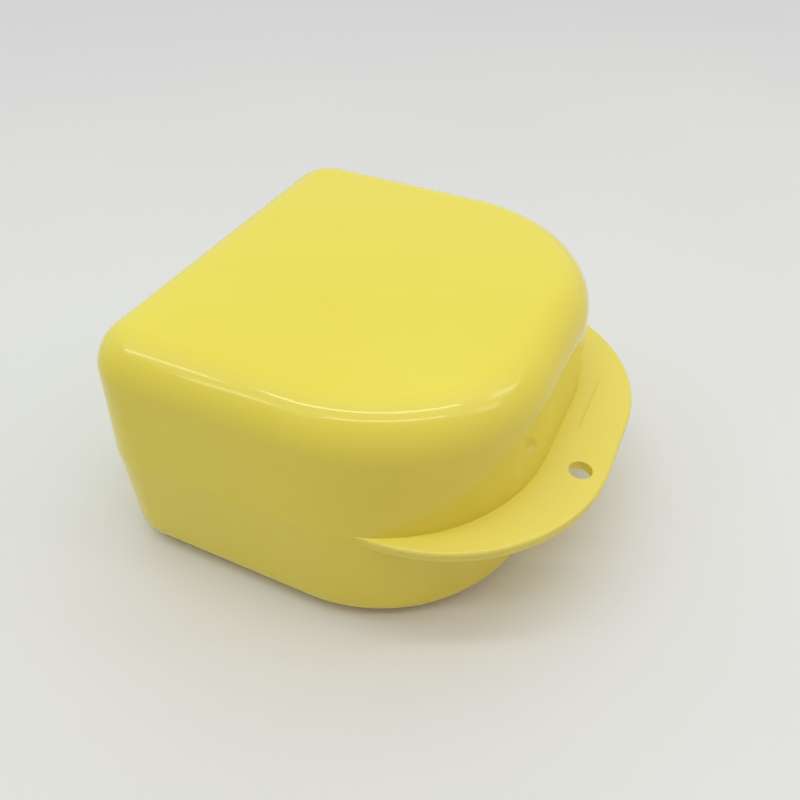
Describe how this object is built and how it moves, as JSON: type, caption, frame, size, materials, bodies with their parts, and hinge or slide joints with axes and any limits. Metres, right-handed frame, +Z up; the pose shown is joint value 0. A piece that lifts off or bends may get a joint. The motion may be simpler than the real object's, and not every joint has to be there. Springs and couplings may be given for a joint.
{
  "type": "denture case",
  "caption": "Hinged D-shaped clamshell case for a denture, with deep halves, a snap hinge at the flat back and crescent opening lips with a cord hole at the front.",
  "frame": {"origin": "on the table, in the middle of the closed case's length and width", "axes": "+Z up, -Y towards the front lips, +Y towards the hinge, +X to the right of someone facing the hinge from the front"},
  "size_m": [0.08, 0.0895, 0.0458],
  "materials": {
    "yellow_plastic": "gloss"
  },
  "bodies": {
    "base": {"base": "yellow_plastic"},
    "lid": {"lid": "yellow_plastic"}
  },
  "joints": [
    {"name": "lid_hinge", "type": "hinge", "parent": "base", "child": "lid", "pos_m": [0, 0.04215, 0.0229], "axis": [-1, 0, 0], "range_deg": [0, 180]}
  ]
}
